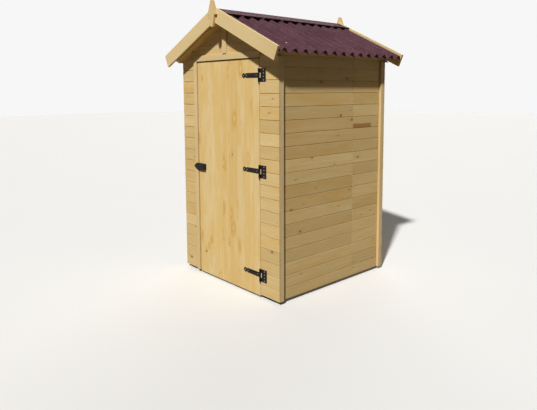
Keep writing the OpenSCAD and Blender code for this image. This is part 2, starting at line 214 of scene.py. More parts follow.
def board_profile(width, low, high, kink):
    """Section of tongued boards as (across, through) for each width in an array: square back,
    tongue on the far edge, groove on the near edge, chamfers low and high along the face, and
    one point on the back and on the face at kink, where a gable's outline may bend."""
    ones = np.ones_like(width)
    edge, far = JOINT / 2 * ones, width - JOINT / 2
    third = BOARD_T / 3
    across = [edge, kink, far, far, width + TONGUE, width + TONGUE, far, far, width - high,
              kink, low * ones, edge, edge, GROOVE * ones, GROOVE * ones, edge]
    through = [0, 0, 0, third, third, 2 * third, 2 * third, BOARD_T - high, BOARD_T,
               BOARD_T, BOARD_T, BOARD_T - low, 2 * third + SLACK, 2 * third + SLACK,
               third - SLACK, third - SLACK]
    return np.stack(across, -1), np.array(through)


def board_marks(across, through, run, heart):
    """Marks of boards: grain, coordinates along the trunk from a random place and across and
    through it from a random pith behind the face that the board slants past; tone, lighter or
    darker; and heart, how much warm heartwood the board holds."""
    count = across.shape[0]
    shift = chance.uniform(0, GRAIN_SHIFT, count)
    pith_across = chance.uniform(*PITH_ACROSS, count)
    pith_through = chance.uniform(*PITH_BEHIND, count)
    slant = chance.uniform(-GRAIN_SLANT, GRAIN_SLANT, count)
    tone = chance.normal(0, 1, count).clip(-TONE_LIMIT, TONE_LIMIT)
    hearts = chance.uniform(0, 1, count)[:, None] + 0 * across
    if heart is not None:
        hearts = shared_hearts(np.array(heart), across / across.max(1, keepdims=True))
    grain = np.stack([run + shift[:, None, None],
                      across[:, None, :] - pith_across[:, None, None] + 0 * run,
                      through - pith_through[:, None, None] + slant[:, None, None] * run], -1)
    plain = {"tone": tone[:, None], "heart": hearts}
    marks = {key: np.broadcast_to(value[:, None], run.shape).reshape(-1, 1)
             for key, value in plain.items()}
    marks["grain"] = grain.reshape(-1, 3)
    return marks


def shared_hearts(heart, part):
    """Heartwood over each board's width, part from 0 to 1: its own in the middle, and halfway
    to its neighbour's at each edge, so that the boards blend."""
    own = heart[:, None]
    near = (own + np.roll(own, 1, 0)) / 2
    far = (own + np.roll(own, -1, 0)) / 2
    return np.where(part < 0.5, near + (own - near) * 2 * part, own + (far - own) * (2 * part - 1))


def boards(way, back, joints, ends, lid=None, chamfers=(LOW_CHAMFER, HIGH_CHAMFER), heart=None):
    """Points, faces and marks of tongued boards side by side between joints. way holds the
    directions along the boards, across them and out of their face. Each board's section is
    carried from ends(place)[0] to ends(place)[1], and no point passes lid(through)."""
    along, over, outward = (np.array(direction, float) for direction in way)
    start, width = joints[:-1], np.diff(joints)
    low, high = chamfers
    bend = EAVE - start
    within = (bend > low + BEND_CLEAR) & (bend < width - high - BEND_CLEAR)
    kink = np.where(within, bend, width / 2)
    across, through = board_profile(width, low, high, kink)
    across[-1] = np.minimum(across[-1], width[-1] - JOINT / 2)
    place = start[:, None] + across
    if lid:
        place = np.minimum(place, lid(through))
    run = np.stack(ends(place), 1)
    points = (run[..., None] * along + place[:, None, :, None] * over
              + (back + through)[:, None] * outward)
    marks = board_marks(across, through, run, heart)
    return points.reshape(-1, 3), loft_faces(2, across.shape[1], len(width)), marks


def wall_rows(foot, top):
    """Joint heights of a wall's boards from its foot up to a top, the top included."""
    first = WALL_FOOT + FIRST_BOARD
    joints = first + BOARD_PITCH * np.arange(math.ceil((APEX - first) / BOARD_PITCH) + 1)
    inner = joints[(joints > foot + LEAST_BOARD) & (joints < top - LEAST_BOARD)]
    return np.concatenate([[foot], inner, [top]])


def rows_across(start, first, end, pitch):
    """Joint places from start to end: a first board, then boards of one pitch, and what is left."""
    return np.concatenate([[start], np.arange(start + first, end - LEAST_STRIP, pitch), [end]])


def square_ends(start, end):
    """Ends of boards that are cut square."""
    return lambda place: (start + 0 * place, end + 0 * place)


def gable_ends(height):
    """Ends of boards that run to the corners, and under the roof to its slope: they lie at
    half the width, or at (apex - height) / rise where that is less, on either side."""
    half = np.minimum(HALF_W, (APEX - height) / RISE)
    return -half, half


def ends_left_of_way(height):
    """Ends of boards from the left corner to the doorway."""
    return gable_ends(height)[0], WAY_LEFT + 0 * height


def ends_right_of_way(height):
    """Ends of boards from the doorway to the right corner."""
    return WAY_RIGHT + 0 * height, gable_ends(height)[1]


def side_lid(through):
    """Underside of the roof over a side wall's boards: apex - rise (back + through)."""
    return APEX - RISE * (SIDE_BACK + through)


# directions along the boards, across them and out of their face
FRONT = ((1, 0, 0), (0, 0, 1), (0, -1, 0))
BACK = ((-1, 0, 0), (0, 0, 1), (0, 1, 0))
RIGHT = ((0, 1, 0), (0, 0, 1), (1, 0, 0))
LEFT = ((0, -1, 0), (0, 0, 1), (-1, 0, 0))
UPRIGHT = ((0, 0, -1), (1, 0, 0), (0, -1, 0))
LEVEL = ((1, 0, 0), (0, 1, 0), (0, 0, 1))


def board_piece(name, node, groups, material, body="shed"):
    """Groups of boards as one piece that stands for a node."""
    marks = {key: np.concatenate([group[2][key] for group in groups]) for key in groups[0][2]}
    shape = (*joined([group[:2] for group in groups]), marks)
    add_piece(name, shape, body, material, [node])


# ------------------------ materials

MIX_A, MIX_B, MIX_RESULT = 6, 7, 2  # a Mix node's colour sockets


class Nodes:
    """The empty node tree of a material or the world, with a short call for each kind of node."""

    def __init__(self, owner):
        owner.use_nodes = True
        self.tree = owner.node_tree
        self.tree.nodes.clear()

    def node(self, kind, *values, **settings):
        """A new node with its settings, and with values on its first sockets."""
        made = self.tree.nodes.new(kind)
        for key, value in settings.items():
            setattr(made, key, value)
        for socket, value in zip(made.inputs, values):
            self.put(socket, value)
        return made

    def put(self, socket, value):
        """Links a socket, or sets a plain value on it."""
        if isinstance(value, bpy.types.NodeSocket):
            self.tree.links.new(value, socket)
        else:
            socket.default_value = value

    def math(self, operation, a, b=0.0, c=0.0):
        """Result of a Math node."""
        return self.node("ShaderNodeMath", a, b, c, operation=operation).outputs[0]

    def times(self, *values):
        """Product of two or more values."""
        product = values[0]
        for value in values[1:]:
            product = self.math("MULTIPLY", product, value)
        return product

    def vector(self, operation, a, b=(0, 0, 0)):
        """Result of a Vector Math node, a number where it is a length."""
        made = self.node("ShaderNodeVectorMath", a, b, operation=operation)
        return made.outputs["Value" if operation == "LENGTH" else "Vector"]

    def split(self, vector):
        """X, y and z of a vector."""
        return self.node("ShaderNodeSeparateXYZ", vector).outputs

    def combine(self, x, y, z):
        """A vector from x, y and z."""
        return self.node("ShaderNodeCombineXYZ", x, y, z).outputs[0]

    def object_place(self):
        """Place in the piece's own coordinates, which at rest are the shared frame's."""
        return self.node("ShaderNodeTexCoord").outputs["Object"]

    def mark(self, name, output="Vector"):
        """A piece's own point attribute, as a vector or, from the output Fac, as a number."""
        return self.node("ShaderNodeAttribute", attribute_name=name).outputs[output]

    def noise(self, vector, scale, detail=2.0, roughness=0.5, stretch=(1, 1, 1)):
        """Noise that is drawn out along each axis whose stretch is less than 1."""
        made = self.node("ShaderNodeTexNoise", self.vector("MULTIPLY", vector, stretch))
        self.put(made.inputs["Scale"], scale)
        self.put(made.inputs["Detail"], detail)
        self.put(made.inputs["Roughness"], roughness)
        return made.outputs["Fac"]

    def ramp(self, value, low, high, to_low=0.0, to_high=1.0):
        """Smooth step of a value from low to high, onto to_low to to_high."""
        return self.node("ShaderNodeMapRange", value, low, high, to_low, to_high,
                         interpolation_type="SMOOTHSTEP").outputs[0]

    def mix(self, share, a, b, blend="MIX"):
        """Colour a with a share of b blended in."""
        made = self.node("ShaderNodeMix", share, data_type="RGBA", blend_type=blend)
        self.put(made.inputs[MIX_A], a)
        self.put(made.inputs[MIX_B], b)
        return made.outputs[MIX_RESULT]

    def tinge(self, colour, tint, share, value, low, high):
        """A colour that takes on a share of a tint as a value goes from low to high."""
        return self.mix(self.ramp(value, low, high, 0.0, share), colour, tint)


class Finish(Nodes):
    """A new material's node tree, with its shader."""

    def __init__(self, name):
        self.material = bpy.data.materials.new(name)
        super().__init__(self.material)
        self.shader = self.node("ShaderNodeBsdfPrincipled")
        self.node("ShaderNodeOutputMaterial", self.shader.outputs["BSDF"])

    def bump(self, height, depth, strength):
        """Relief of a height from 0 to 1 over a depth in metres."""
        made = self.node("ShaderNodeBump", strength, depth)
        self.put(made.inputs["Height"], height)
        self.put(self.shader.inputs["Normal"], made.outputs[0])

    def finish(self, colour, roughness, specular=0.5, metallic=0.0):
        """Gives the shader its values, and returns the material."""
        for name, value in (("Base Color", colour), ("Roughness", roughness),
                            ("Specular IOR Level", specular), ("Metallic", metallic)):
            self.put(self.shader.inputs[name], value)
        return self.material


EARLY_WOOD = (0.640, 0.468, 0.205, 1)  # pale spring growth
LATE_WOOD = (0.500, 0.305, 0.100, 1)   # darker ring lines
WARM_WOOD = (0.600, 0.378, 0.108, 1)   # heartwood
PALE_WOOD = (0.700, 0.560, 0.310, 1)   # sapwood streaks
FLARE_WOOD = (0.560, 0.320, 0.070, 1)  # resin-rich wood over a branch
PAINTED_WARM_LIGHT = (0.690, 0.460, 0.170, 1)  # painted warm light, on the faces that look along one axis
GREY_WOOD = (0.600, 0.550, 0.450, 1)   # weathered face
KNOT_RING = (0.110, 0.050, 0.018, 1)
KNOT_HEART = (0.300, 0.150, 0.050, 1)
BARK_RED = (0.300, 0.130, 0.042, 1)
WINE_DEEP = (0.060, 0.023, 0.034, 1)   # bitumen sheet
WINE = (0.086, 0.036, 0.049, 1)
WINE_RUBBED = (0.120, 0.062, 0.076, 1)
WINE_DARK_FLECK = (0.040, 0.015, 0.024, 1)
WINE_PALE_FLECK = (0.130, 0.070, 0.082, 1)
WINE_PALE_GRIT = (0.16, 0.10, 0.11, 1)
WINE_DARK_GRIT = (0.036, 0.015, 0.020, 1)
BROWN_UNDERSIDE = (0.085, 0.050, 0.034, 1)
LACQUER = (0.004, 0.003, 0.003, 1)
LACQUER_RUBBED = (0.012, 0.009, 0.008, 1)

RING_WIDTH = 0.0046                     # one growth ring
RING_BEND, KNOT_BEND = 0.030, 0.010     # how far noise and knots push the rings aside
KNOT_CELL, FLARE_CELL = 0.12, 0.21      # spacing of the places where a knot or flare may be
KNOT_LEAST, KNOT_MORE = 0.0028, 0.0055  # radius of the least knot, and what the largest adds
FLARE_LEAST, FLARE_MORE = 0.015, 0.022  # the same for the half length of a flare


def scattered(wood, place, spacing, share, stretches):
    """Marks at some of the points of a loose grid over the grain, share of them: whether one is
    near, its distance along the grain squeezed by each stretch, and two random values."""
    x, y, z = wood.split(place)
    flat = wood.combine(x, wood.math("ADD", y, z), 0.0)
    flat = wood.vector("DIVIDE", flat, (spacing, spacing, 1))
    cell = wood.node("ShaderNodeTexVoronoi", voronoi_dimensions="2D")
    wood.put(cell.inputs["Vector"], flat)
    wood.put(cell.inputs["Scale"], 1.0)
    luck, size, kind = wood.split(cell.outputs["Color"])
    away = wood.vector("SUBTRACT", flat, cell.outputs["Position"])
    reaches = [wood.times(wood.vector("LENGTH", wood.vector("MULTIPLY", away, (stretch, 1, 0))),
                          spacing) for stretch in stretches]
    return wood.math("GREATER_THAN", luck, 1 - share), reaches, size, kind


def pine_knots(wood, place, share):
    """Knots: their core, dark rim, drawn-out halo of bent fibres, and a random kind."""
    here, (close, drawn), size, kind = scattered(wood, place, KNOT_CELL, share, (0.85, 0.26))
    radius = wood.math("MULTIPLY_ADD", wood.math("POWER", size, 2.0), KNOT_MORE, KNOT_LEAST)
    close = wood.math("DIVIDE", close, radius)
    core = wood.times(here, wood.ramp(close, 1.15, 0.85))
    rim = wood.times(here, wood.ramp(close, 1.6, 1.0), wood.ramp(close, 0.45, 0.95))
    halo = wood.times(here, wood.ramp(wood.math("DIVIDE", drawn, radius), 2.8, 0.8))
    return core, rim, halo, kind


def resin_flares(wood, place, share):
    """Soft resin-rich flares, several times longer than wide and frayed by noise, as over a
    branch that lies under the face: their share, and that of the pale spot in each."""
    frayed = wood.noise(place, 34.0, 3.0, 0.6, (0.30, 1, 1))
    here, (drawn, close), size, kind = scattered(wood, place, FLARE_CELL, share, (0.45, 0.55))
    half = wood.math("MULTIPLY_ADD", size, FLARE_MORE, FLARE_LEAST)
    reach = wood.math("ADD", frayed, wood.math("DIVIDE", drawn, half))
    close = wood.math("MULTIPLY_ADD", frayed, 0.030, close)
    spot = wood.times(here, wood.math("GREATER_THAN", kind, 0.4), wood.ramp(close, 0.034, 0.018))
    return wood.times(here, wood.ramp(reach, 1.80, 0.85)), spot


def pine(name, place=None, marks=False, heart=0.45, knots=0.14, pale=0.0, grey=0.0, painted_light_axis=None,
         flares=0.0, bark=False, tones=0.055, hearts=0.22, flames=(0.50, 0.82), figure=(13.0, 0.22),
         light=1.0):
    """Planed pine. place gives the wood's own coordinates in metres, x along the fibres and y
    and z across from the pith, from a function of the finish or else from the mark "grain".
    Growth rings follow the distance from the pith, bent by noise and pushed aside round the
    knots; heartwood comes in long flames, sapwood in thin pale streaks. painted_light_axis names
    the axis along which the faces that look that way get painted warm light, and tones and hearts
    are how far boards differ in lightness and in heartwood, flames the noise levels between which
    it shows, figure the fineness and the stretch of its flames, and light lightens the whole."""
    wood = Finish(name)
    place = place(wood) if place else wood.mark("grain")
    core, rim, halo, kind = pine_knots(wood, place, knots)

    bend = wood.noise(place, 9.0, 2.0, 0.5, (0.12, 1, 1))
    depth = wood.vector("LENGTH", wood.vector("MULTIPLY", place, (0, 1, 1)))
    depth = wood.math("MULTIPLY_ADD", bend, RING_BEND, depth)
    depth = wood.math("MULTIPLY_ADD", halo, KNOT_BEND, depth)
    turn = wood.math("FRACT", wood.math("DIVIDE", depth, RING_WIDTH))
    rings = wood.times(wood.ramp(turn, 0.35, 0.92), wood.ramp(turn, 1.0, 0.95))

    fineness, stretch = figure
    streak = wood.noise(place, 24.0, 3.0, 0.6, (0.06, 1, 1))
    flame = wood.noise(place, fineness, 3.0, 0.60, (stretch, 1, 1))
    fibre = wood.noise(place, 420.0, 2.0, 0.6, (0.03, 1, 1))
    warmth = wood.mark("heart", "Fac") if marks else heart
    flame = wood.math("MULTIPLY_ADD", warmth, hearts, flame)
    colour = wood.mix(wood.times(rings, 0.34), EARLY_WOOD, LATE_WOOD)
    colour = wood.tinge(colour, WARM_WOOD, 0.9, flame, *flames)
    colour = wood.tinge(colour, PALE_WOOD, 0.60, streak, 0.48, 0.80)
    colour = wood.mix(pale, colour, PALE_WOOD)
    if flares:
        flare, spot = resin_flares(wood, place, flares)
        colour = wood.mix(wood.times(flare, 0.85), colour, FLARE_WOOD)
        colour = wood.mix(wood.times(spot, 0.45), colour, PALE_WOOD)
    colour = wood.mix(grey, colour, GREY_WOOD)
    # faces that look along the axis take painted warm light
    if painted_light_axis:
        normal = wood.split(wood.node("ShaderNodeNewGeometry").outputs["Normal"])
        facing = wood.math("ABSOLUTE", normal["XYZ".index(painted_light_axis)])
        colour = wood.tinge(colour, PAINTED_WARM_LIGHT, 0.65, facing, 0.6, 0.9)
    if bark:
        colour = wood.mix(bark_pocket(wood), colour, BARK_RED)
    colour = wood.mix(wood.times(halo, 0.36), colour, LATE_WOOD)
    colour = wood.mix(wood.times(core, 0.9), colour, wood.mix(kind, KNOT_HEART, LATE_WOOD))
    colour = wood.mix(wood.times(rim, 0.75), colour, KNOT_RING)
    if marks:
        level = wood.math("MULTIPLY_ADD", wood.mark("tone", "Fac"), tones, 1.0)
    else:
        level = wood.ramp(wood.noise(place, 1.7, 0.0), 0.25, 0.75, 0.94, 1.05)
    level = wood.times(level, wood.ramp(fibre, 0.2, 0.8, 0.96 * light, 1.03 * light))
    tint = wood.combine(level, wood.math("POWER", level, 1.25), wood.math("POWER", level, 1.6))
    colour = wood.mix(1.0, colour, tint, "MULTIPLY")
    relief = wood.math("MULTIPLY_ADD", fibre, 0.6, wood.times(rings, -0.5))
    wood.bump(relief, 0.0004, 0.5)
    return wood.finish(colour, wood.math("MULTIPLY_ADD", fibre, 0.16, 0.55), specular=0.3)


BARK_BOARDS_BELOW = 12  # whole boards between the lowest and the one with bark
BARK_LONG, BARK_WIDE = 0.225, 0.036


def bark_pocket(wood):
    """Share of a reddish pocket of bark in one side board: it starts at the seam of the side
    panels and at the foot of the board, and its upper edge and far end are ragged."""
    foot = WALL_FOOT + FIRST_BOARD + BARK_BOARDS_BELOW * BOARD_PITCH
    _, y, z = wood.split(wood.object_place())
    frayed = wood.noise(wood.object_place(), 70.0, 2.0, 0.6, (1, 0.25, 1))
    gone = wood.math("DIVIDE", wood.math("SUBTRACT", y, SEAM), BARK_LONG)
    high = wood.math("DIVIDE", wood.math("SUBTRACT", z, foot), BARK_WIDE)
    upper = wood.ramp(wood.math("MULTIPLY_ADD", frayed, 0.35, high), 1.22, 1.10)
    end = wood.ramp(wood.math("MULTIPLY_ADD", frayed, 0.30, gone), 1.20, 1.08)
    start = wood.times(wood.ramp(high, -0.02, 0.05), wood.ramp(gone, -0.01, 0.0))
    return wood.times(upper, end, start, 0.85)


SLOPES_APART = 3.7  # shifts the grain of one slope against the other's


def grain_along(axis):
    """Wood coordinates of timbers that run along an axis, or down both slopes of the roof, where
    down = |x| cos p - z sin p and square to it |x| sin p + z cos p."""
    def place(wood):
        x, y, z = wood.split(wood.object_place())
        straight = {"x": (x, y, z), "y": (y, x, z), "z": (z, x, y)}
        if axis in straight:
            return wood.combine(*straight[axis])
        out = wood.math("ABSOLUTE", x)
        down = wood.math("SUBTRACT", wood.times(out, COS), wood.times(z, SIN))
        square = wood.math("ADD", wood.times(out, SIN), wood.times(z, COS))
        apart = wood.math("MULTIPLY_ADD", wood.math("SIGN", x), SLOPES_APART, down)
        return wood.combine(apart, y, square)
    return place


def bitumen_finish():
    """Pressed bitumen sheet: a matt wine-brown face with paler rubbed streaks and fibres that
    run down the slope, and a brown underside."""
    sheet = Finish("wine_bitumen")
    place = sheet.object_place()
    broad = sheet.noise(place, 5.0, 3.0, 0.6)
    grit = sheet.noise(place, 260.0, 2.0, 0.7)
    run = sheet.noise(place, 60.0, 3.0, 0.6, (0.10, 1, 0.10))
    fleck = sheet.noise(place, 75.0, 3.0, 0.65)
    colour = sheet.tinge(WINE_DEEP, WINE, 1.0, broad, 0.30, 0.70)
    colour = sheet.tinge(colour, WINE_RUBBED, 0.50, run, 0.50, 0.80)
    colour = sheet.tinge(colour, WINE_DARK_FLECK, 0.60, fleck, 0.48, 0.30)
    colour = sheet.tinge(colour, WINE_PALE_FLECK, 0.45, fleck, 0.55, 0.75)
    colour = sheet.tinge(colour, WINE_PALE_GRIT, 0.30, grit, 0.60, 0.80)
    colour = sheet.tinge(colour, WINE_DARK_GRIT, 0.50, grit, 0.42, 0.25)
    colour = sheet.mix(sheet.mark("under", "Fac"), colour, BROWN_UNDERSIDE)
    sheet.bump(sheet.math("MULTIPLY_ADD", run, 0.8, grit), 0.0010, 0.5)
    return sheet.finish(colour, sheet.ramp(grit, 0.3, 0.7, 0.68, 0.88), specular=0.12)


def iron_finish():
    """Black lacquered iron with a fine orange-peel face, rubbed a little grey."""
    iron = Finish("black_lacquered_iron")
    place = iron.object_place()
    peel = iron.noise(place, 420.0, 2.0, 0.5)
    rub = iron.noise(place, 60.0, 3.0, 0.6)
    colour = iron.tinge(LACQUER, LACQUER_RUBBED, 0.6, rub, 0.45, 0.75)
    iron.bump(peel, 0.0003, 0.4)
    return iron.finish(colour, iron.ramp(rub, 0.3, 0.7, 0.45, 0.62), specular=0.18)


def metal_finish(name, dark, light, metallic):
    """Dull metal with cloudy wear between a dark and a light colour."""
    metal = Finish(name)
    cloud = metal.noise(metal.object_place(), 300.0, 2.0, 0.6)
    colour = metal.mix(cloud, dark, light)
    return metal.finish(colour, metal.ramp(cloud, 0.3, 0.7, 0.40, 0.58), metallic=metallic)


wall_look = {"marks": True, "knots": 0.17, "pale": 0.12, "flames": (0.54, 0.90)}
WALL = pine("wall_boards_pine", **wall_look)
REAR_WALL = pine("wall_boards_pine_with_bark", bark=True, **wall_look)
DOOR = pine("door_boards_pine", marks=True, knots=0.07, pale=0.20, tones=0.014, hearts=0.32,
            flames=(0.51, 0.72), figure=(11.0, 0.36), flares=0.62, light=1.125)
FLOOR = pine("floor_boards_pine", marks=True)
TIMBER = {axis: pine("timber_pine_" + axis, grain_along(axis), knots=0.10) for axis in "xyz"}
PLANED = {axis: pine("planed_pine_" + axis, grain_along(axis), heart=0.15, knots=0.02, pale=0.56)
          for axis in ("x", "z", "slope")}
# painted warm light on the finials' faces that look along X and on the corner posts' faces along Y
FINIAL = pine("finial_pine", grain_along("z"), heart=0.2, knots=0.0, pale=0.35, painted_light_axis="X")
POSTS = pine("corner_post_pine", grain_along("z"), heart=0.1, knots=0.04, pale=0.3, grey=0.25,
             painted_light_axis="Y")
SLOPING = pine("timber_pine_slope", grain_along("slope"), knots=0.10)
# bearers: grey timber, made paler still with painted light, as they stand in the walls' shade
BEARER = pine("bearer_timber_grey_painted_light", grain_along("y"), knots=0.08, grey=0.92, light=1.25)
BITUMEN = bitumen_finish()
IRON = iron_finish()
SCREW = metal_finish("dark_screw_heads", (0.22, 0.20, 0.18, 1), (0.42, 0.39, 0.35, 1), 0.2)
STEEL = metal_finish("zinc_plate", (0.30, 0.28, 0.25, 1), (0.50, 0.47, 0.42, 1), 0.4)
NAIL = metal_finish("weathered_nail_heads", (0.10, 0.065, 0.035, 1), (0.20, 0.14, 0.08, 1), 0.3)

# ------------------------ walls, door and floor

ROOF_TOP = APEX - 0.001  # the gables' boards end just under the apex
front_rows = wall_rows(WALL_FOOT, SPLIT)
for hand, ends in (("left", ends_left_of_way), ("right", ends_right_of_way)):
    board_piece(f"front_wall_boards_{hand}", f"front_boards_{hand}",
                [boards(FRONT, END_BACK, front_rows, ends)], WALL)
board_piece("front_gable_wall_boards", "front_gable_boards",
            [boards(FRONT, END_BACK, wall_rows(SPLIT, ROOF_TOP), gable_ends),
             boards(FRONT, END_BACK, wall_rows(WAY_TOP, SPLIT), square_ends(WAY_LEFT, WAY_RIGHT))],
            WALL)
board_piece("back_wall_boards", "back_boards",
            [boards(BACK, END_BACK, wall_rows(WALL_FOOT, ROOF_TOP), gable_ends)], WALL)
side_rows = wall_rows(WALL_FOOT, side_high.z)
SIDE_PANELS = (("right", "front", RIGHT, SIDE_START, SEAM - SEAM_GAP, WALL),
               ("right", "rear", RIGHT, SEAM + SEAM_GAP, SIDE_END, REAR_WALL),
               ("left", "front", LEFT, -SEAM + SEAM_GAP, -SIDE_START, WALL),
               ("left", "rear", LEFT, -SIDE_END, -SEAM - SEAM_GAP, WALL))
for hand, part, way, start, end, material in SIDE_PANELS:
    board_piece(f"{hand}_wall_boards_{part}", f"{hand}_boards_{part}",
                [boards(way, SIDE_BACK, side_rows, square_ends(start, end), side_lid)], material)

DOOR_HEARTS = (0.9, 0.2, 0.3, 0.8, 0.7, 0.9, 0.1, 1.0, 0.1)  # warm boards between pale ones
door_rows = rows_across(door_low.x, DOOR_FIRST, door_high.x, BOARD_PITCH)
board_piece("door_boards", "door_leaf",
            [boards(UPRIGHT, -door_high.y, door_rows, square_ends(-door_high.z, -door_low.z),
                    chamfers=(FINE_CHAMFER, FINE_CHAMFER), heart=DOOR_HEARTS)],
            DOOR, "door")
floor_rows = rows_across(deck_low.y, FLOOR_PITCH, deck_high.y, FLOOR_PITCH)
board_piece("floor_boards", "floor_deck",
            [boards(LEVEL, deck_low.z, floor_rows, square_ends(deck_low.x, deck_high.x),
                    chamfers=(FINE_CHAMFER, FINE_CHAMFER))], FLOOR)

# ------------------------ timbers of the frame


def dress(names, material, edge):
    """Gives nodes a material, and rounds their edges over a width."""
    for name in names:
        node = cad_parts[name]
        node.data.materials.clear()
        node.data.materials.append(material)
        weld = node.modifiers.new("welded_corners", "WELD")
        weld.merge_threshold = 10 * SAME_POINT
        round_edges(node, edge)


EASED, SAWN = 0.0018, 0.0010  # rounding of planed and of sawn edges
dress(("door_head", "front_sole_rails", "back_sole_rail"), TIMBER["x"], SAWN)
dress(("lintel", "door_ledges"), PLANED["x"], EASED)
dress(("left_rails", "right_rails", "eave_purlins", "mid_purlins", "ridge_purlins"),
      TIMBER["y"], SAWN)
dress(("bearers",), BEARER, SAWN)
dress(("door_posts", "left_studs", "right_studs"), TIMBER["z"], SAWN)
dress(("front_corner_posts", "back_posts"), POSTS, SAWN)
dress(("jamb_strip", "gable_centre_strip", "door_braces"), PLANED["z"], EASED)
dress(("front_finial", "rear_finial"), FINIAL, EASED)
dress(("gable_rails", "front_verge_rafters", "rear_verge_rafters"), SLOPING, SAWN)
dress(("front_barge_left", "front_barge_right", "rear_barge_left", "rear_barge_right"),
      PLANED["slope"], EASED)

# ------------------------ roof

WAVE = 0.095                                    # length of a wave of the sheets
WAVE_FACES, SLOPE_FACES = 30, 8                 # faces in a wave, and down a slope
SHEET_T, CAP_T, SOFFIT_T = 0.003, 0.004, 0.006  # thicknesses
CAP_LIFT = 0.008                                # how far the cap's edges stand up from the slope
sheet_low, sheet_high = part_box("roof_sheet_right")
cap_low, cap_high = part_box("ridge_cap")
# places down the slope where a sheet starts and ends, and its lowest and highest lift over it
SHEET_START, SHEET_END, SHEET_LOW, SHEET_HIGH = np.linalg.solve(
    [[COS, 0, SIN, 0], [-SIN, 0, 0, COS], [0, COS, 0, SIN], [0, -SIN, COS, 0]],
    [sheet_low.x, sheet_high.z - APEX, sheet_high.x, sheet_low.z - APEX])


def slope_points(side, down, y, lift):
    """Points over a roof slope, from the distance down it and the height square to it:
    x = side (down cos p + lift sin p), z = apex - down sin p + lift cos p."""
    x = side * (down * COS + lift * SIN)
    return np.stack(np.broadcast_arrays(x, y, APEX - down * SIN + lift * COS), -1)


def roof_sheet(side):
    """Corrugated sheet over one slope: lift = low + h (1 - cos(2 pi y / wave)) / 2."""
    columns = round((sheet_high.y - sheet_low.y) / WAVE * WAVE_FACES)
    y = np.linspace(sheet_low.y, sheet_high.y, columns + 1)[None]
    down = np.linspace(SHEET_START, SHEET_END, SLOPE_FACES + 1)[:, None]
    height = SHEET_HIGH - SHEET_LOW - SHEET_T
    lift = SHEET_LOW + height * (1 - np.cos(2 * math.pi * y / WAVE)) / 2
    return with_underside(thick_sheet(slope_points(side, down, y, lift + SHEET_T),
                                      slope_points(side, down, y, lift)))


def with_underside(sheet):
    """A thick sheet with its marks: under is 1 on the lower of its two equal grids."""
    points, faces = sheet
    under = np.repeat([0.0, 1.0], len(points) // 2)[:, None]
    return points, faces, {"under": under}


def cap_piece():
    """Ridge cap: flanges on the crests, z = lift - x tan p, raised by the square of the way to
    their edges, and a round top between them, x = r sin t, z = lift - r / cos p + r cos t."""
    half = cap_high.x
    seat = cap_low.z + half * RISE
    round_r = (seat + CAP_T / COS - cap_high.z) / (1 / COS - 1) - CAP_T
    turn = np.linspace(-PITCH, PITCH, 13)
    flat = np.linspace(half, (round_r + CAP_T) * SIN, 6)[:-1]
    raised = CAP_LIFT * ((flat - flat[-1]) / (half - flat[-1])) ** 2
    y = np.linspace(cap_low.y, cap_high.y, 13)[None]
    grids = []
    for r, lift in ((round_r + CAP_T, CAP_T / COS), (round_r, 0.0)):
        flange = lift - flat * RISE + raised
        x = np.concatenate([-flat, r * np.sin(turn), flat[::-1]])
        z = np.concatenate([flange, lift - r / COS + r * np.cos(turn), flange[::-1]])
        grids.append(np.stack(np.broadcast_arrays(x[:, None], y, seat + z[:, None]), -1))
    return with_underside(thick_sheet(*grids))


for side, word in ((-1, "left"), (1, "right")):
    add_piece("roof_sheet_" + word + "_waves", roof_sheet(side), "shed",
              BITUMEN, ["roof_sheet_" + word], smooth=40)
add_piece("ridge_cap_sheet", cap_piece(), "shed", BITUMEN, ["ridge_cap"],
          smooth=30)

# soffit strips between the verge rafters and the gables, under the purlins
SOFFIT_START, SOFFIT_LIFT = 0.002, -0.0005  # distance down the slope, and height over it
rafter_back = -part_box("front_verge_rafters")[1].y
soffit_down = np.array([SOFFIT_START, HALF_W / COS])[:, None]
for front, word in ((-1, "front"), (1, "rear")):
    y = np.sort([front * HALF_D, front * rafter_back])[None]
    strips = [thick_sheet(slope_points(side, soffit_down, y, SOFFIT_LIFT),
                          slope_points(side, soffit_down, y, SOFFIT_LIFT - SOFFIT_T))
              for side in (-1, 1)]
    add_piece(word + "_verge_soffits", joined(strips), "shed", SLOPING)

# nails on every second crest, in rows near the ridge, halfway down and over the eave purlins:
# all under wine-coloured caps but for the foremost at each eave, which is bare
CAP_DOME = [(0.009, -0.001), (0.009, 0.0015), (0.0065, 0.004), (0.0025, 0.005)]
BARE_HEAD = [(0.0055, -0.001), (0.0055, 0.0012), (0.003, 0.0022)]
NAIL_SIDES = 10
RIDGE_NAIL_DOWN = 0.118
EAVE_NAIL_IN = 0.020  # distance of the lowest row from the eave purlins' outer faces
eave_nail_down = (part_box("eave_purlins")[1].x - EAVE_NAIL_IN) / COS
crests = WAVE * (np.arange(math.ceil(cap_low.y / WAVE - 0.5), cap_high.y / WAVE - 0.5) + 0.5)
crests = crests[1:-1:2]
for side, word in ((-1, "left"), (1, "right")):
    ridge_row = slope_points(side, RIDGE_NAIL_DOWN, crests, SHEET_HIGH + CAP_T)
    middle_row = slope_points(side, eave_nail_down / 2, crests, SHEET_HIGH)
    eave_row = slope_points(side, eave_nail_down, crests, SHEET_HIGH)
    capped = np.concatenate([ridge_row, middle_row, eave_row[1:]])
    axis = (side * SIN, 0, COS)
    add_piece("roof_nail_caps_" + word, turned(CAP_DOME, capped, axis, NAIL_SIDES), "shed",
              BITUMEN, smooth=50)
    add_piece("bare_roof_nail_" + word, turned(BARE_HEAD, eave_row[0], axis, NAIL_SIDES), "shed",
              STEEL, smooth=50)

# ------------------------ nails of the boards

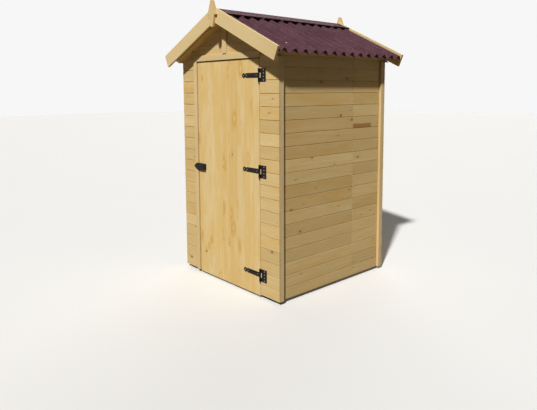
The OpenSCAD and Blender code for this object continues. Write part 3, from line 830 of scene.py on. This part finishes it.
NAIL_HEAD = [(0.0024, -0.0006), (0.0024, 0.0002), (0.0014, 0.0004)]
NAIL_LEVEL = 0.3                                # height of a nail in its board, as a share
CORNER_NAIL_IN = 0.018                          # from a wall's corner to its nails
POST_NAIL_LEFT, POST_NAIL_RIGHT = 0.055, 0.060  # from the doorway to the nails beside it
PANEL_NAIL_IN = 0.014                           # from a side panel's end to its nails


def wall_nails(name, places, top, at, outward):
    """A nail in each board of a wall at each place along it; at(place, z) is its point."""
    rows = wall_rows(WALL_FOOT, top)
    levels = rows[:-1] + NAIL_LEVEL * np.diff(rows)
    heads = [at(place, z) for place in places for z in levels]
    add_piece(name, turned(NAIL_HEAD, heads, outward, sides=8), "shed", NAIL)


corner_nail = HALF_W - CORNER_NAIL_IN
wall_nails("front_board_nails",
           (-corner_nail, WAY_LEFT - POST_NAIL_LEFT, WAY_RIGHT + POST_NAIL_RIGHT, corner_nail),
           SPLIT, lambda x, z: (x, -HALF_D, z), (0, -1, 0))
wall_nails("back_board_nails", (-corner_nail, 0.0, corner_nail), EAVE,
           lambda x, z: (x, HALF_D, z), (0, 1, 0))
panel_nails = (SIDE_START + PANEL_NAIL_IN, SEAM - PANEL_NAIL_IN,
               SEAM + PANEL_NAIL_IN, SIDE_END - PANEL_NAIL_IN)
wall_nails("left_board_nails", panel_nails, side_high.z,
           lambda y, z: (-SIDE_FACE, y, z), (-1, 0, 0))
wall_nails("right_board_nails", panel_nails, side_high.z,
           lambda y, z: (SIDE_FACE, y, z), (1, 0, 0))

# ------------------------ hinges and latch

straps_low, straps_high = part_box("hinge_straps")
plates_low, plates_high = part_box("hinge_plates")
FACE = straps_high.y                         # face of the door and the wall boards
IRON_T = 0.003
BARREL = (straps_high.x - plates_low.x) / 2  # radius of the barrels
BARREL_EASE = 0.0007                         # rounding of their ends
PIN_X, PIN_Y = straps_high.x - BARREL, straps_low.y + BARREL
PIN_R, PIN_OUT = 0.003, 0.003                # radius, and how far a pin tops its plate
SLEEVE = 0.017                               # half height of a strap's barrel
KNUCKLE = SLEEVE + 0.0015                    # height at which a plate's knuckles start
STRAP_LONG = PIN_X - straps_low.x
STRAP_TAPER = 0.001                          # what its half width loses by the neck
STRAP_EASE = 0.0007                          # fall of its eased edges
NECK_LONG, NECK_HALF = 0.0385, 0.0068        # length with the knob, and half width
NECK_STEP = 0.0015                           # length over which the strap steps in to it
KNOB_R = 0.0168
RIB_HIGH, RIB_RUN_OUT = 0.0014, 0.006        # height, and length over which it rises
RIB_FROM_PIN, RIB_FROM_NECK = 0.012, 0.004
# a strap's section: part of its half width, of the rib's height and of the eased edge's fall
STRAP_SECTION = [(-1, 0, 1), (-0.9, 0, 0), (-0.24, 0, 0), (-0.15, 0.8, 0), (0, 1, 0),
                 (0.15, 0.8, 0), (0.24, 0, 0), (0.9, 0, 0), (1, 0, 1)]
PLATE_W, PLATE_HALF = plates_high.x - PIN_X, 0.045
PLATE_SLOT = BARREL + 0.0095  # depth of a plate's slot from the pin
SCREW_HEAD = [(0.0042, -0.0006), (0.0042, 0.0004), (0.0032, 0.0012), (0.0012, 0.0016)]
# screws: distances from the pin along a strap, heights over a plate's middle, and distance from
# a plate's outer edge
STRAP_SCREWS = (0.030, STRAP_LONG - 0.050, STRAP_LONG - KNOB_R)
PLATE_SCREWS, PLATE_SCREW_IN = (-0.034, -0.012, 0.012, 0.034), 0.022


def hinge_heights():
    """Middle heights of the straps' barrels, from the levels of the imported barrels' ends."""
    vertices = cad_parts["hinge_straps"].data.vertices
    points = np.empty(3 * len(vertices))
    vertices.foreach_get("co", points)
    x, _, z = points.reshape(-1, 3).T
    levels = np.unique(z[x > PIN_X + BARREL / 2].round(4))
    return (levels[0::2] + levels[1::2]) / 2


def strap(z):
    """A hinge strap, a grid of distance s from the pin and place across: its half width narrows
    a little, steps in to a neck and ends in a round knob, half = max(neck, sqrt(r^2 -
    (s - c)^2)). Its edges are eased, and a rib is pressed out along its middle, which runs out
    before the pin and the neck."""
    neck_at, knob_at = STRAP_LONG - NECK_LONG, STRAP_LONG - KNOB_R
    s = np.concatenate([np.linspace(0, neck_at, 16), np.linspace(neck_at + NECK_STEP, knob_at, 8),
                        knob_at + KNOB_R * np.sin(np.linspace(0.1, math.pi / 2, 12))])
    knob = np.sqrt(np.maximum(KNOB_R ** 2 - (s - knob_at) ** 2, 0))
    half = np.where(s <= neck_at, SLEEVE - STRAP_TAPER * s / neck_at, np.maximum(NECK_HALF, knob))
    half = np.where(s > knob_at, knob, half)[:, None]
    across, rib, edge = np.array(STRAP_SECTION, float).T[:, None]
    pressed = (np.clip((s - RIB_FROM_PIN) / RIB_RUN_OUT, 0, 1)
               * np.clip((neck_at - RIB_FROM_NECK - s) / RIB_RUN_OUT, 0, 1))
    out = IRON_T - STRAP_EASE * edge + RIB_HIGH * rib * pressed[:, None]
    x = PIN_X - s[:, None] + 0 * across
    grid = np.stack([x, FACE - out, z + half * across], -1)
    flat = grid.copy()
    flat[..., 1] = FACE
    return thick_sheet(grid, flat)


def barrel(z, low, high, r=BARREL):
    """A round barrel on the pin between two heights, with eased ends."""
    inner, start, end = r - BARREL_EASE, low + BARREL_EASE, high - BARREL_EASE
    return turned([(inner, low), (r, start), (r, end), (inner, high)], [(PIN_X, PIN_Y, z)],
                  (0, 0, 1), sides=20)


def hinge_plate(z):
    """A hinge plate on the frame beside the pin, with its slot round the strap's barrel."""
    outline = [(0, -PLATE_HALF), (PLATE_W, -PLATE_HALF), (PLATE_W, PLATE_HALF), (0, PLATE_HALF),
               (0, KNUCKLE), (PLATE_SLOT, KNUCKLE), (PLATE_SLOT, -KNUCKLE), (0, -KNUCKLE)]
    return prism([(PIN_X + x, z + up) for x, up in outline], FACE, FACE - IRON_T)


heights = hinge_heights()
straps = [strap(z) for z in heights] + [barrel(z, -SLEEVE, SLEEVE) for z in heights]
add_piece("hinge_strap_irons", joined(straps), "door", IRON, ["hinge_straps"],
          smooth=40)
add_piece("hinge_plate_irons", joined([hinge_plate(z) for z in heights]), "shed",
          IRON, ["hinge_plates"], bevel=0.0006)
pin_foot = plates_low.z - heights[0]  # the pins stand out below their plates
pins = []
for z in heights:
    pins += [barrel(z, KNUCKLE, PLATE_HALF), barrel(z, -PLATE_HALF, -KNUCKLE),
             barrel(z, pin_foot, PLATE_HALF + PIN_OUT, PIN_R)]
add_piece("hinge_knuckles_and_pins", joined(pins), "shed", IRON, smooth=40)

strap_screws = [(PIN_X - s, z) for z in heights for s in STRAP_SCREWS]
plate_screws = [(PIN_X + PLATE_W - PLATE_SCREW_IN, z + up) for z in heights for up in PLATE_SCREWS]
for name, places, body in (("strap_screws", strap_screws, "door"),
                           ("plate_screws", plate_screws, "shed")):
    places = [(x, FACE - IRON_T, z) for x, z in places]
    heads = turned(SCREW_HEAD, places, (0, -1, 0), sides=12)
    add_piece(name, heads, body, SCREW, smooth=50)

latch_low, latch_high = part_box("door_latch")
LATCH_Z = (latch_low.z + latch_high.z) / 2
LATCH_IN = 0.002  # how far the plate stays inside its node's ends
LATCH_START, LATCH_END = latch_low.x + LATCH_IN, latch_high.x - LATCH_IN
LATCH_HALF = (latch_high.z - latch_low.z) / 2 - 2 * LATCH_IN
LATCH_FRONT = latch_low.y
PLATE_FRONT, PLATE_BACK = LATCH_FRONT + 0.0014, LATCH_FRONT + 0.0042
NOSE_SHARE = 0.22                           # part of the plate's length that is its nose
NOSE_LINE = ((0.85, 0.017), (0.35, 0.013))  # part of the nose's length, and half height there
CASE_IN, CASE_ON_DOOR = 0.002, 0.004        # how far the case is from the plate's and door's edge
MIDDLE_HALF, MIDDLE_IN = 0.019, 0.014       # half height, and distance from the plate's end


def latch_block(start, end, half, back, front):
    """A block of the latch between two places along the door and two depths, half its height
    above and below the latch's middle."""
    low, high = LATCH_Z - half, LATCH_Z + half
    return prism([(start, low), (end, low), (end, high), (start, high)], back, front)


def latch_parts():
    """Latch: a plate with a pointed nose, a case behind it and a raised middle."""
    nose = NOSE_SHARE * (LATCH_END - LATCH_START)
    upper = [(LATCH_END, LATCH_HALF), (LATCH_START + nose, LATCH_HALF)]
    upper += [(LATCH_START + part * nose, half) for part, half in NOSE_LINE]
    outline = [(LATCH_START, 0)] + [(x, -up) for x, up in upper[::-1]] + upper
    plate = prism([(x, LATCH_Z + up) for x, up in outline], PLATE_BACK, PLATE_FRONT)
    case = latch_block(door_low.x + CASE_ON_DOOR, LATCH_END - CASE_IN, LATCH_HALF - CASE_IN,
                       FACE, PLATE_BACK)
    middle = latch_block(LATCH_START + nose, LATCH_END - MIDDLE_IN, MIDDLE_HALF, PLATE_FRONT,
                         LATCH_FRONT)
    return joined([plate, case, middle])


add_piece("door_latch_irons", latch_parts(), "door", IRON, ["door_latch"],
          bevel=0.0009)

# ------------------------ camera, floor and light

CAMERA_PLACE = (3.1356, -2.9245, 1.4725)
CAMERA_YAW, CAMERA_DOWN, CAMERA_ROLL = 47.39, 6.25, 0.15        # degrees
CAMERA_LENS, CAMERA_SENSOR = 35.316, 36                         # millimetres
CAMERA_SHIFT = (-0.0210, -0.1060)
FLOOR_REACH = 30.0
FLOOR_PALE = ((0.745, 0.75, 0.755, 1), (0.76, 0.765, 0.77, 1))  # the floor as it shows
FLOOR_BOUNCE = (0.12, 0.09, 0.06, 1)                            # and as it lights the shed
AIR_FILL, AIR_STRENGTH = (1.0, 0.85, 0.64, 1), 0.045            # light from all round
AIR_PALE = (0.93, 0.93, 0.93, 1)                                # the surround as it shows


def add_camera():
    """The camera: turned by its yaw about Z, tipped down from level, and rolled a little."""
    data = bpy.data.cameras.new("camera")
    data.sensor_width = CAMERA_SENSOR
    data.lens = CAMERA_LENS
    data.shift_x, data.shift_y = CAMERA_SHIFT
    camera = placed("camera", data)
    turn = (Matrix.Rotation(math.radians(CAMERA_YAW), 4, "Z")
            @ Matrix.Rotation(math.radians(90 - CAMERA_DOWN), 4, "X")
            @ Matrix.Rotation(math.radians(-CAMERA_ROLL), 4, "Z"))
    camera.matrix_world = Matrix.Translation(CAMERA_PLACE) @ turn
    bpy.context.scene.camera = camera


def add_sun(name, toward, strength, colour, spread):
    """A distant lamp: toward points from the shed to the lamp, spread is its width in degrees."""
    data = bpy.data.lights.new(name, "SUN")
    data.energy = strength
    data.color = colour
    data.angle = math.radians(spread)
    lamp = placed(name, data)
    lamp.rotation_euler = Vector(toward).to_track_quat("Z", "Y").to_euler()


def seen_by_camera(nodes):
    """A socket that is 1 for rays from the camera, and for those that a glossy face mirrors or a
    clear one lets through: the greatest of the three."""
    rays = nodes.node("ShaderNodeLightPath").outputs
    seen = nodes.math("MAXIMUM", rays["Is Camera Ray"], rays["Is Glossy Ray"])
    return nodes.math("MAXIMUM", seen, rays["Is Transmission Ray"])


def add_stage():
    """A pale level floor, and an even pale surround that also fills the shade."""
    square = np.array(((-1, -1, 0), (1, -1, 0), (1, 1, 0), (-1, 1, 0)))
    mesh = bpy.data.meshes.new("studio_floor")
    mesh.from_pydata((FLOOR_REACH * square).tolist(), [], [[0, 1, 2, 3]])
    floor = placed("studio_floor", mesh)
    paint = Finish("studio_floor_paint")
    cloud = paint.noise(paint.object_place(), 0.8, 1.0)
    colour = paint.mix(seen_by_camera(paint), FLOOR_BOUNCE, paint.mix(cloud, *FLOOR_PALE))
    mesh.materials.append(paint.finish(colour, 0.9, specular=0.1))

    bpy.context.scene.world = bpy.data.worlds.new("studio_air")
    air = Nodes(bpy.context.scene.world)
    fill = air.node("ShaderNodeBackground", AIR_FILL, AIR_STRENGTH).outputs[0]
    backdrop = air.node("ShaderNodeBackground", AIR_PALE).outputs[0]
    mixed = air.node("ShaderNodeMixShader", seen_by_camera(air), fill, backdrop)
    air.node("ShaderNodeOutputWorld", mixed.outputs[0])


add_camera()
add_sun("key_light", (0.55, -1.0, 1.18), 4.37, (1.0, 0.985, 0.955), 3)
add_sun("rim_light", (-0.8, 1.0, 0.30), 1.5, (1.0, 0.99, 0.97), 50)
add_stage()
bpy.context.scene.view_settings.view_transform = "Standard"
